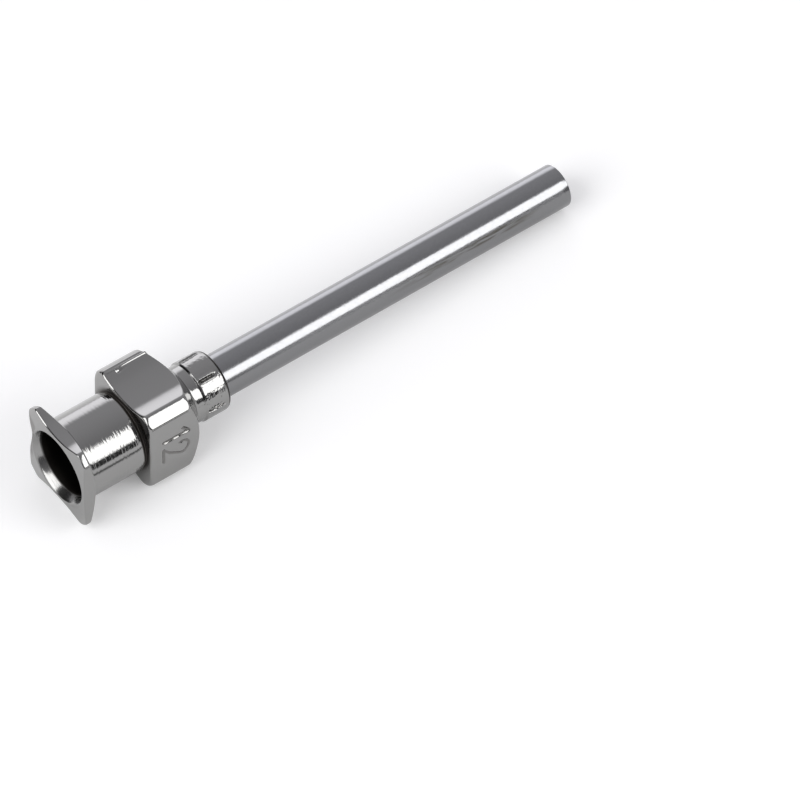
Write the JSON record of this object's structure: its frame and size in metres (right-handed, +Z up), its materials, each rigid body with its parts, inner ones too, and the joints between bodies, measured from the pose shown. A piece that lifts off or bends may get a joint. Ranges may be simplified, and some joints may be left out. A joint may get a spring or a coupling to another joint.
{
  "type": "dispensing needle tip",
  "caption": "All-metal blunt dispensing needle: square-barred luer-lock hub with lug plate, barrel, wrench block and crimped collar holding a straight steel tube.",
  "frame": {"origin": "centre of the bounding box's underside, the needle lying as it comes to rest on the front corners of its block and on its tip", "axes": "+Z up, +X from the luer socket towards the tip (the tube falls 3.2 degrees towards its tip), -Y out of the flat that carries the plain gauge number"},
  "size_m": [0.0366, 0.0056, 0.0064],
  "materials": {
    "nickel_plated_brass": "bright nickel plating, tumbled, with fine turning marks",
    "stainless_tube": "drawn stainless steel, fine marks along its length"
  },
  "bodies": {
    "root": {"luer_hub": "nickel_plated_brass", "needle_tube": "stainless_tube"}
  },
  "joints": []
}
